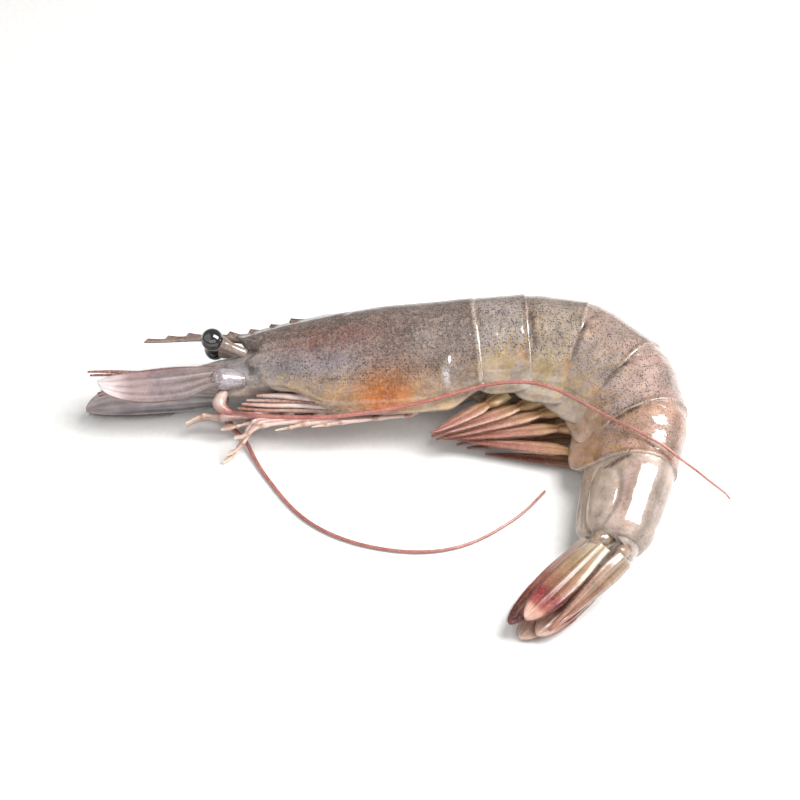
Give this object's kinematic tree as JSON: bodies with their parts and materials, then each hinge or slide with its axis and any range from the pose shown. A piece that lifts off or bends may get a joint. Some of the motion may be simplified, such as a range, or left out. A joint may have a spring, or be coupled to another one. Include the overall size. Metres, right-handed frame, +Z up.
{
  "type": "raw prawn",
  "caption": "Whole raw prawn, shell on, lying on its side with the tail curled in: speckled grey shell, red-tipped tail fan, legs folded forward, long thin antennae.",
  "frame": {"origin": "centre of the underside of the bounding box, on the table", "axes": "+X from the head towards the far end of the body, +Y towards the back, +Z up: the animal's left side faces up"},
  "size_m": [0.123, 0.074, 0.0215],
  "materials": {
    "shell": "wet, slightly glossy",
    "eye": "glossy black",
    "limb": "satin, thin and pale",
    "whip": "satin",
    "scale": "wet, thin",
    "paddle": "satin",
    "tail": "wet, slightly glossy"
  },
  "bodies": {
    "root": {"trunk": "shell", "eye_left": "eye", "eye_right": "eye", "antennal_scale_left": "scale", "antennal_scale_right": "scale", "antennule_left": "limb", "antennule_right": "limb", "antenna_left": "whip", "antenna_right": "whip", "maxilliped_left": "limb", "maxilliped_right": "limb", "leg_1_left": "limb", "leg_2_left": "limb", "leg_3_left": "limb", "leg_4_left": "limb", "leg_5_left": "limb", "leg_1_right": "limb", "leg_2_right": "limb", "leg_3_right": "limb", "leg_4_right": "limb", "leg_5_right": "limb", "swimming_leg_1_left": "paddle", "swimming_leg_2_left": "paddle", "swimming_leg_3_left": "paddle", "swimming_leg_4_left": "paddle", "swimming_leg_5_left": "paddle", "swimming_leg_1_right": "paddle", "swimming_leg_2_right": "paddle", "swimming_leg_3_right": "paddle", "swimming_leg_4_right": "paddle", "swimming_leg_5_right": "paddle", "telson": "tail", "uropod_inner_left": "tail", "uropod_outer_left": "tail", "uropod_inner_right": "tail", "uropod_outer_right": "tail"}
  },
  "joints": []
}
